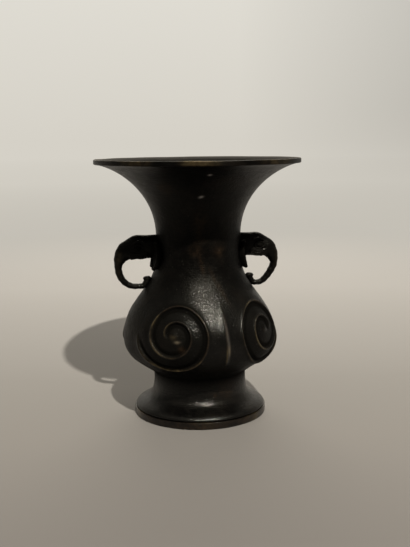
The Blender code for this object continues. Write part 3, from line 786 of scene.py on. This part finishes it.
wall_grid = belly_grid[:len(wall)]
angle = np.linspace(0.0, 2 * math.pi, BELLY_SIDES, endpoint=False)[None, :]
relief, crest, channel = scroll_relief(angle, wall_z)
relief += uneven(wall_grid, seed=11, size=BELLY_WAVER)
relief *= smooth((neck_seam - wall_z) / RELIEF_TOP_FADE) * smooth((wall_z - belly_foot) / RELIEF_FOOT_FADE)
along = run_of(wall)
push = np.stack((
    along[:, 1:] * np.sin(angle),
    -along[:, 1:] * np.cos(angle),
    -along[:, :1] + 0 * angle,
), axis=-1)
wall_grid += push * relief[..., None]

CREST_WEAR = 0.60
CREST_WEAR_SPREAD = 1.4
CREST_WEAR_LEAST = 0.15
CREST_WEAR_MOST = 1.3
CREST_WAX = 0.40
UNDER_SHADE_Z = 0.031
UNDER_SHADE_OVER = 0.006
INSIDE_DIRT = 0.8
RUB_WEAR = 0.8
RUB_PAINTED_HIGHLIGHT = 0.12
BELLY_BROWN = (0.0056, 0.0046, 0.0039)
BELLY_DULLNESS = 0.35
BELLY_WAX = 0.52
WAX_TOP = 0.082
WAX_TOP_OVER = 0.022
WAX_BOTTOM = 0.036
WAX_BOTTOM_OVER = 0.014
NECK_WAX = 0.055
SHADED_SIDE_WAX_CUT = 0.75
SHADED_SIDE_DARKENING = 0.25
SHADED_SIDE_FROM = -42.0
SHADED_SIDE_OVER = 30.0
# Rubs of real wear on the bar and on a scroll; their pale tint is a painted highlight for the bar's bright
# line.
BELLY_RUBS_AND_HIGHLIGHTS = [
    (12.2, 0.0560, 0.0006, 0.0060, 0.0),
    (13.2, 0.0475, 0.0006, 0.0060, 0.0),
    (-23.9, 0.0515, 0.0016, 0.0007, 0.3),
]
BODY_STAINS = [
    (-20.5, 0.0475, 0.0020, 0.0022, 0.0),
    (-38.0, 0.1345, 0.0050, 0.0030, 0.0),
    (-5.0, 0.1135, 0.0038, 0.0080, 0.0),
    (-12.0, 0.0995, 0.0030, 0.0030, 0.0),
    (20.0, 0.0990, 0.0030, 0.0030, 0.0),
    (-4.0, 0.0915, 0.0012, 0.0050, -0.2),
    (14.0, 0.0800, 0.0012, 0.0070, -0.4),
]

crest_wear = CREST_WEAR + uneven(wall_grid, seed=17, size=CREST_WEAR_SPREAD)
belly_wear = np.zeros(belly_grid.shape[:2])
belly_wear[:len(wall)] = crest * np.clip(crest_wear, CREST_WEAR_LEAST, CREST_WEAR_MOST)
belly_hollow = np.full(belly_grid.shape[:2], INSIDE_DIRT)
# Dirt in the scroll channels, and painted shade on the low wall under the bulge, above the foot.
belly_hollow[:len(wall)] = channel + smooth((UNDER_SHADE_Z - wall_z) / UNDER_SHADE_OVER)
rubs_and_highlights = marks(belly_grid, BELLY_RUBS_AND_HIGHLIGHTS)
belly_z = belly_grid[..., 2]
# Painted shade on the belly's left side: it is darkened, dulled and less waxed.
shaded_side = smooth((SHADED_SIDE_FROM - np.degrees(turn_of(belly_grid))) / SHADED_SIDE_OVER)
waxed = smooth((WAX_TOP - belly_z) / WAX_TOP_OVER) * smooth((belly_z - WAX_BOTTOM) / WAX_BOTTOM_OVER)
waxed *= 1.0 - SHADED_SIDE_WAX_CUT * shaded_side
belly = surface("belly", belly_grid, {
    "wear": np.clip(belly_wear + RUB_WEAR * rubs_and_highlights, 0, 1),
    "hollow": np.clip(belly_hollow + SHADED_SIDE_DARKENING * shaded_side, 0, 1),
    "stain": marks(belly_grid, BODY_STAINS),
    # Painted highlight: a pale tint on the rubs.
    "pale": RUB_PAINTED_HIGHLIGHT * rubs_and_highlights,
    "wax": NECK_WAX + (BELLY_WAX - NECK_WAX) * waxed + CREST_WAX * (belly_wear + rubs_and_highlights),
})
belly_patina = patinated_bronze("belly_patina", BELLY_BROWN, BELLY_DULLNESS)
dress(belly, belly_patina, ["belly_casting"])


# The neck is a hollow bronze casting: a slender trumpet that flares to a thick level rim. The rim's
# upright band and top are rubbed to a golden brown, and its lower spigot is soldered into the belly.
neck_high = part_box("neck_casting")[1]
rim_radius = neck_high[0]
rim_top = neck_high[2]
RIM_BAND = 0.0028
RIM_EDGE = 0.0006
LIP_LAND = 0.0030
FLARE_POWER = 2.26
FLARE_ROUNDNESS = 0.69
NECK_SIDES = 360
NECK_WAVER = 0.0022
NEAR_RIM_Z = 0.140
NEAR_RIM_OVER = 0.008
RIM_WAVER = 0.00018
RIM_SKIN = 0.0008
RIM_WEAR = 0.20
RIM_WEAR_SPREAD = 0.8
LIP_SKIN = 0.0006
LIP_WEAR = 0.16
LIP_DUST = 0.15
LIP_DUST_RADIUS = 0.048
LIP_DUST_OVER = 0.010
NECK_BROWN = (0.0078, 0.0062, 0.0051)
NECK_DULLNESS = 0.35
# Painted glints: pale spots on the neck that stand for the lamp's glints on small nicks.
NECK_PAINTED_GLINTS = [
    (-4.8, 0.1298, 0.0011, 0.0006, 0.6),
    (0.2, 0.1422, 0.0009, 0.0004, 0.0),
]


def flare(start_radius, end_radius, end_height, count):
    """Trumpet outline: upright at the waist, turning out until it is level at the given end."""
    rise = np.sin(np.linspace(0.0, 1.0, count) * math.pi / 2)
    opening = 1.0 - (1.0 - rise ** FLARE_POWER) ** FLARE_ROUNDNESS
    heights = NECK_WAIST_Z + (end_height - NECK_WAIST_Z) * rise
    return np.column_stack((start_radius + (end_radius - start_radius) * opening, heights))


band_foot = rim_top - RIM_BAND
rim_edge = rim_radius - RIM_EDGE
lip = rim_radius - LIP_LAND
neck_foot = neck_seam + SEAM
spigot_low = neck_seam - SPIGOT_LENGTH
neck_spigot = neck_bore + SPIGOT_WALL
neck_outside = np.concatenate((
    curve(body_radius, neck_foot, NECK_WAIST_Z, 24)[:-1],
    flare(NECK_RADIUS, rim_edge, band_foot, 120),
    corner((rim_edge, band_foot + RIM_EDGE), RIM_EDGE, -80, 0, 6),
    straight((rim_radius, band_foot + 1.4 * RIM_EDGE), (rim_radius, rim_top - 1.4 * RIM_EDGE), 4),
    corner((rim_edge, rim_top - RIM_EDGE), RIM_EDGE, 0, 90, 7),
))
neck_inside = np.concatenate((
    straight((rim_radius - 1.5 * RIM_EDGE, rim_top), (lip + 3 * HAIR, rim_top - HAIR), 4),
    flare(neck_bore, lip, rim_top - 2 * HAIR, 50)[::-1],
    straight((neck_bore, NECK_WAIST_Z - 10 * HAIR), (neck_bore, spigot_low), 12),
    straight((neck_spigot, spigot_low), (neck_spigot, neck_foot), 4),
))
neck_grid = spin(np.concatenate((neck_outside, neck_inside)), NECK_SIDES)
neck_z = neck_grid[..., 2]
neck_r = from_axis(neck_grid)
near_rim = smooth((neck_z - NEAR_RIM_Z) / NEAR_RIM_OVER)
neck_grid[..., :2] *= (1.0 + uneven(neck_grid, seed=23, size=NECK_WAVER) * (1 - near_rim))[..., None]
neck_grid[..., 2] -= near_rim * (HAIR + uneven(neck_grid, seed=29, size=RIM_WAVER))
on_band = (neck_r > rim_radius - RIM_SKIN) & (neck_z > band_foot - 2 * HAIR)
on_lip = (neck_r > lip) & (neck_z > rim_top - LIP_SKIN)
neck_wear = np.where(on_band, RIM_WEAR + uneven(neck_grid, seed=31, size=RIM_WEAR_SPREAD), 0.0)
neck_wear += np.where(on_lip, LIP_WEAR, 0.0)
inside = (np.arange(len(neck_grid)) >= len(neck_outside))[:, None]
lip_dust = LIP_DUST * smooth((neck_r - LIP_DUST_RADIUS) / LIP_DUST_OVER)
neck = surface("neck", neck_grid, {
    "wear": np.clip(neck_wear, 0, 1),
    "hollow": np.where(inside, 1.0, 0.0) + 0 * neck_z,
    "stain": marks(neck_grid, BODY_STAINS),
    # Pale is dust on the rim's top inside, and painted glints outside.
    "pale": np.where(inside, lip_dust, marks(neck_grid, NECK_PAINTED_GLINTS)),
    "wax": np.full(neck_z.shape, NECK_WAX),
})
neck_patina = patinated_bronze("neck_patina", NECK_BROWN, NECK_DULLNESS)
dress(neck, neck_patina, ["neck_casting"])


# Each handle is one bronze casting, held by two pins: an elephant's head that looks out from the neck,
# with ears laid back on the wall and a ringed trunk that swings out, down and in, and curls up to a lip.
HEAD_Z = 0.0995
HEAD_INSET = 0.0006
HEAD_LENGTH = 0.0126
HEAD_HALF = 0.0071
HEAD_WAIST = 0.04
HEAD_HALF_WIDTH = 0.0056
HEAD_END_WIDTH = 0.84
LOOP_REACH = 0.0121
LOOP_Z = 0.0875
LOOP_HALF_WIDTH = 0.0097
LOOP_HALF_HEIGHT = 0.0112
LOOP_START = 58.0
LOOP_END = -88.0
TRUNK_ROOT = 0.80
TRUNK_SLIM_AT = 0.36
TRUNK_HALF = 0.0022
TRUNK_HALF_WIDTH = 0.0027
TRUNK_END_HALF = 0.0016
TRUNK_END_HALF_WIDTH = 0.0022
CURL_RADIUS = 0.0012
CURL_START = -92.0
CURL_END = -180.0
KNOB_HALF = 0.0017
KNOB_RISE = 0.0050
HEAD_STEPS = 30
LOOP_STEPS = 70
CURL_STEPS = 24
KNOB_STEPS = 10
ROUTE_MEAN = 15
LEFT_SET = 0.0006
RIGHT_SET = -0.0012
RIGHT_PINCH = 0.36


def running_mean(line, weights):
    """A line smoothed by a weighted mean over its near points, with its ends held."""
    half = len(weights) // 2
    padded = np.pad(line, ((half, half), (0, 0)), "edge")
    return np.column_stack([np.convolve(column, weights, "valid") for column in padded.T])


def handle_route(set_out, pinch, count):
    """Centre line of the handle and its half thickness and half width, at even steps along it.

    The head runs level out of the neck, the trunk is an ellipse's arc round the loop, and a smaller
    arc curls its tip up against the shoulder. The pinch draws in the lower half of the loop. A running
    mean rounds the joins.
    """
    knob_z = LOOP_Z - LOOP_HALF_HEIGHT + CURL_RADIUS
    curl = body_radius(knob_z) + KNOB_HALF + CURL_RADIUS
    head = np.linspace(0.0, 1.0, HEAD_STEPS)
    loop = np.radians(np.linspace(LOOP_START, LOOP_END, LOOP_STEPS))
    loop_width = LOOP_HALF_WIDTH * np.cos(loop) * (1.0 + pinch * np.minimum(np.sin(loop), 0))
    swing = np.linspace(0.0, 1.0, LOOP_STEPS)
    slimming = (0, TRUNK_SLIM_AT, 1)
    root_width = HEAD_END_WIDTH * HEAD_HALF_WIDTH
    tip = np.radians(np.linspace(CURL_START, CURL_END, CURL_STEPS))
    curled = np.linspace(0.0, 1.0, CURL_STEPS)
    rise = np.linspace(0.1, 1.0, KNOB_STEPS)
    rounding = np.sqrt(np.maximum(1.0 - rise ** 3, 0.0))
    reach = np.concatenate((
        neck_bore + HEAD_INSET + head * (HEAD_LENGTH + set_out),
        NECK_RADIUS + LOOP_REACH + set_out + loop_width,
        curl + CURL_RADIUS * np.cos(tip),
        curl - CURL_RADIUS + body_radius(knob_z + KNOB_RISE * rise) - body_radius(knob_z),
    ))
    height = np.concatenate((
        np.full(HEAD_STEPS, HEAD_Z),
        LOOP_Z + LOOP_HALF_HEIGHT * np.sin(loop),
        knob_z + CURL_RADIUS * np.sin(tip),
        knob_z + KNOB_RISE * rise,
    ))
    thick = np.concatenate((
        HEAD_HALF * (1.0 - HEAD_WAIST * np.sin(math.pi * head)),
        np.interp(swing, slimming, (TRUNK_ROOT * HEAD_HALF, TRUNK_HALF, TRUNK_END_HALF)),
        np.interp(curled, (0, 1), (TRUNK_END_HALF, KNOB_HALF)),
        KNOB_HALF * rounding,
    ))
    wide = np.concatenate((
        HEAD_HALF_WIDTH * (HEAD_END_WIDTH + (1.0 - HEAD_END_WIDTH) * np.sin(math.pi * head)),
        np.interp(swing, slimming, (root_width, TRUNK_HALF_WIDTH, TRUNK_END_HALF_WIDTH)),
        np.full(CURL_STEPS, TRUNK_END_HALF_WIDTH),
        TRUNK_END_HALF_WIDTH * rounding,
    ))
    route = np.column_stack((reach, height, thick, wide))
    length = np.concatenate(([0.0], np.cumsum(np.hypot(np.diff(reach), np.diff(height)))))
    even = np.linspace(0.0, length[-1], count)
    route = np.column_stack([np.interp(even, length, column) for column in route.T])
    weights = np.hanning(ROUTE_MEAN)
    return running_mean(route, weights / weights.sum()), even


def tube(middle, thick, wide, sides):
    """Closed tube along a path in the XZ plane: rounded sections, thick in the plane and wide across."""
    along = run_of(middle)
    bearing = np.linspace(0.0, 2 * math.pi, sides, endpoint=False)
    rise, spread = np.sin(bearing), np.cos(bearing)
    x = middle[:, :1] - along[:, 1:] * thick * rise
    z = middle[:, 1:] + along[:, :1] * thick * rise
    y = wide * spread + 0 * x
    return np.stack((x, y, z), axis=-1)


def pebble(centre, sizes, turn, count):
    """Egg-shaped lump: a ball stretched to three half sizes, turned about Y and put at a centre."""
    down = np.linspace(0.0, math.pi, count)[:, None]
    around = np.linspace(0.0, 2 * math.pi, 2 * count, endpoint=False)[None, :]
    girth = np.sin(down)
    ball = np.stack((girth * np.cos(around), girth * np.sin(around), np.cos(down) + 0 * around), axis=-1)
    cosine, sine = math.cos(turn), math.sin(turn)
    turning = np.array(((cosine, 0, -sine), (0, 1, 0), (sine, 0, cosine)))
    return (ball * np.array(sizes)) @ turning + np.array(centre)


def cord(points, radius, sides):
    """Thin raised line: a round section carried along points, drawn in to a point at both ends."""
    steps = np.linspace(0.0, 1.0, 40)
    knots = np.linspace(0.0, 1.0, len(points))
    line = np.column_stack([np.interp(steps, knots, column) for column in points.T])
    line = running_mean(line, np.full(9, 1 / 9))
    along = run_of(line)
    first = np.cross(along, (0.0, 1.0, 0.0))
    first /= np.linalg.norm(first, axis=1)[:, None]
    second = np.cross(along, first)
    bearing = np.linspace(0.0, 2 * math.pi, sides, endpoint=False)[None, :, None]
    girth = radius * np.sqrt(np.maximum(1.0 - (2 * steps - 1) ** 4, 0.0))[:, None, None]
    return line[:, None] + girth * (first[:, None] * np.cos(bearing) + second[:, None] * np.sin(bearing))


EAR_TURN = math.radians(14.0)
EAR_HALF_TURN = math.radians(11.0)
EAR_DROP = 0.0050
EAR_DROOP = 0.25
EAR_HALF_HEIGHT = 0.0085
EAR_LIFT = 0.0016
EAR_HALF = 0.0017
EAR_RINGS = (0.0, 0.35, 0.7, 0.9, 1.0, 0.9, 0.7, 0.35, 0.0)
EAR_LAYERS = (0.45, 0.45, 0.6, 1.0, 0.3, -1.0, -1.0, -1.0, -1.0)


def ear(side):
    """Ear: a leaf that lies on the neck wall, drooping to a rounded tip, with a thicker curled rim."""
    bearing = np.linspace(0.0, 2 * math.pi, 64, endpoint=False)[None, :]
    ring = np.array(EAR_RINGS)[:, None]
    layer = np.array(EAR_LAYERS)[:, None]
    droop = 1.0 + EAR_DROOP * np.sin(bearing)
    swing = side * (EAR_TURN + ring * np.cos(bearing) * droop * EAR_HALF_TURN)
    height = HEAD_Z - EAR_DROP + ring * np.sin(bearing) * EAR_HALF_HEIGHT
    radius = body_radius(height) + EAR_LIFT + EAR_HALF * layer
    return np.stack((radius * np.cos(swing), radius * np.sin(swing), height), axis=-1)


LIP_LENGTH = 0.0025
LIP_HALF = 0.0015
RING_SPACING = 0.0034
RING_DEPTH = 0.00008
RINGS_START = 0.017
RINGS_START_OVER = 0.004
RINGS_END = 0.006
RINGS_END_OVER = 0.003
EYE = np.array((0.0356, 0.0048, 0.0992))
EYE_SIZES = (0.0022, 0.0012, 0.0015)
EYE_TILT = 0.2
CHEEK = np.array((0.0330, 0.0036, 0.0962))
CHEEK_SIZES = (0.0045, 0.0022, 0.0026)
CHEEK_TILT = 0.1
LID_REACH = 0.0031
LID_SIDE = 0.0052
LID_RISE = 0.0023
LID_HALF = 0.00045
BROW = np.array(((0.0308, 0.0055, 0.1025), (0.0350, 0.0052, 0.1036), (0.0388, 0.0046, 0.1018)))
BROW_HALF = 0.0006
FOLDS = 3
FOLD = np.array((
    (0.0295, 0.0052, 0.0965),
    (0.0345, 0.0056, 0.0957),
    (0.0392, 0.0048, 0.0962),
    (0.0422, 0.0037, 0.0985),
))
FOLD_STEP = 0.0013
FOLD_STEP_SHARES = (1.0, 1.0, 0.8, 1.0)
FOLD_HALF = 0.00045
VOXEL = 0.00028


def handle_shells(set_out, pinch):
    """All the closed lumps of one handle, looking out along +X, which are then fused into one skin."""
    route, even = handle_route(set_out, pinch, 260)
    middle, thick, wide = route[:, :2], route[:, 2:3], route[:, 3:4]
    on_trunk = smooth((even - RINGS_START) / RINGS_START_OVER)
    on_trunk = on_trunk * smooth((even[-1] - RINGS_END - even) / RINGS_END_OVER)
    rings = (RING_DEPTH * on_trunk * np.cos(2 * math.pi * even / RING_SPACING))[:, None]
    ends = np.ones((len(even), 1))
    ends[0] = ends[-1] = 0.0
    tip_reach, tip_z = middle[-1]
    lip_centre = (tip_reach + LIP_LENGTH / 2, 0.0, tip_z - LIP_HALF)
    lid_turn = np.radians(np.linspace(0.0, 360.0, 25))
    lid = np.column_stack((
        EYE[0] + LID_REACH * np.cos(lid_turn),
        np.full_like(lid_turn, LID_SIDE),
        EYE[2] + LID_RISE * np.sin(lid_turn),
    ))
    shells = [
        tube(middle, (thick + rings) * ends, (wide + rings) * ends, 48),
        pebble(lip_centre, (LIP_LENGTH, TRUNK_END_HALF_WIDTH, LIP_HALF), 0.0, 16),
    ]
    for side in (-1, 1):
        mirror = np.array((1, side, 1))
        shells.append(ear(side))
        shells.append(pebble(EYE * mirror, EYE_SIZES, EYE_TILT, 16))
        shells.append(pebble(CHEEK * mirror, CHEEK_SIZES, CHEEK_TILT, 16))
        shells.append(cord(lid * mirror, LID_HALF, 8))
        shells.append(cord(BROW * mirror, BROW_HALF, 8))
        for fold in range(FOLDS):
            lowered = FOLD - np.outer(FOLD_STEP_SHARES, (0, 0, FOLD_STEP * fold))
            shells.append(cord(lowered * mirror, FOLD_HALF, 8))
    return shells


def fuse(name, shells, turn):
    """One skin round overlapping lumps: remeshed by small voxels, smoothed, and turned about Z."""
    points, quads, start = [], [], 0
    for grid in shells:
        rows, columns = grid.shape[:2]
        index = start + np.arange(rows * columns).reshape(rows, columns)
        next_column = np.roll(index, -1, axis=1)
        faces = np.stack((index[:-1], next_column[:-1], next_column[1:], index[1:]), axis=-1)
        points.append(grid.reshape(-1, 3))
        quads.append(faces.reshape(-1, 4))
        start += rows * columns
    rough = bpy.data.meshes.new(name + "_lumps")
    rough.from_pydata(np.concatenate(points).tolist(), [], np.concatenate(quads).tolist())
    rough_piece = bpy.data.objects.new(name + "_lumps", rough)
    bpy.context.collection.objects.link(rough_piece)
    remesh = rough_piece.modifiers.new("fuse", "REMESH")
    remesh.mode = "VOXEL"
    remesh.voxel_size = VOXEL
    soften = rough_piece.modifiers.new("soften", "SMOOTH")
    soften.factor = 0.5
    soften.iterations = 3
    evaluated = rough_piece.evaluated_get(bpy.context.evaluated_depsgraph_get())
    mesh = bpy.data.meshes.new_from_object(evaluated)
    bpy.data.objects.remove(rough_piece)
    mesh.name = name
    mesh.transform(Matrix.Rotation(turn, 4, "Z"))
    mesh.shade_smooth()
    piece = bpy.data.objects.new(name, mesh)
    bpy.context.collection.objects.link(piece)
    return piece


TRUNK_RUB = 0.15
TRUNK_RUB_REACH = 0.0445
TRUNK_RUB_OVER = 0.003
ROOT_DIRT = 0.7
ROOT_DIRT_REACH = 0.031
ROOT_DIRT_OVER = 0.005
EYE_DIRT = 0.9
EYE_DIRT_HALF = 0.0022
HANDLE_BROWN = (0.0035, 0.0028, 0.0024)
HANDLE_DULLNESS = 0.40
HANDLE_WAX = 0.08
HANDLES = [
    ("right", 0.0, RIGHT_SET, RIGHT_PINCH),
    ("left", math.pi, LEFT_SET, 0.0),
]

handle_patina = patinated_bronze("handle_patina", HANDLE_BROWN, HANDLE_DULLNESS)
for name, turn, set_out, pinch in HANDLES:
    handle = fuse(name + "_elephant_handle", handle_shells(set_out, pinch), turn)
    count = len(handle.data.vertices)
    spots = np.empty(count * 3, np.float32)
    handle.data.vertices.foreach_get("co", spots)
    spots = spots.reshape(-1, 3)
    reach = from_axis(spots)
    eye_distance = np.linalg.norm(np.abs(spots) - EYE, axis=1)
    dirt = ROOT_DIRT * smooth((ROOT_DIRT_REACH - reach) / ROOT_DIRT_OVER)
    dirt += EYE_DIRT * np.exp(-(eye_distance / EYE_DIRT_HALF) ** 2)
    paint(handle.data, {
        "wear": TRUNK_RUB * smooth((reach - TRUNK_RUB_REACH) / TRUNK_RUB_OVER),
        "hollow": dirt,
        "wax": np.full(count, HANDLE_WAX),
    })
    dress(handle, handle_patina, [name + "_handle"])


# The base plate, the four pins and the three rings of solder lie inside or under the vase. Their
# solids have the right shape, so they stay and only get their finish: dull bronze and grey solder.
def dull_metal(name, colour, dark, roughness):
    """Dull cast or hammered metal: one colour clouded with a darker one, with a pitted surface."""
    material = bpy.data.materials.new(name)
    material.use_nodes = True
    tree = material.node_tree
    shader = tree.nodes["Principled BSDF"]
    shader.inputs["Metallic"].default_value = 0.7
    shader.inputs["Roughness"].default_value = roughness
    place = add_node(tree, "ShaderNodeTexCoord", {}, {}).outputs["Object"]
    clouds = noise(tree, place, 130.0, 5.0, 0.65)
    tree.links.new(ramp(tree, clouds, [(0.38, dark), (0.64, colour)]), shader.inputs["Base Color"])
    pits = noise(tree, place, 700.0, 4.0, 0.7)
    bump = add_node(tree, "ShaderNodeBump", {}, {"Strength": 0.5, "Distance": 0.0003, "Height": pits})
    tree.links.new(bump.outputs["Normal"], shader.inputs["Normal"])
    return material


plate_finish = dull_metal("base_plate_bronze", (0.075, 0.052, 0.032), (0.022, 0.017, 0.013), 0.55)
pin_finish = dull_metal("hammered_pin_bronze", (0.130, 0.085, 0.042), (0.050, 0.034, 0.020), 0.48)
solder_finish = dull_metal("grey_solder", (0.240, 0.232, 0.220), (0.110, 0.105, 0.098), 0.58)
INNER_FINISHES = [
    (plate_finish, ["base_plate"]),
    (pin_finish, ["left_head_pin", "left_trunk_pin", "right_head_pin", "right_trunk_pin"]),
    (solder_finish, ["neck_solder", "foot_solder", "base_solder"]),
]
for finish, node_names in INNER_FINISHES:
    for node_name in node_names:
        solid = bpy.data.objects[node_name]
        solid.data.materials.clear()
        solid.data.materials.append(finish)
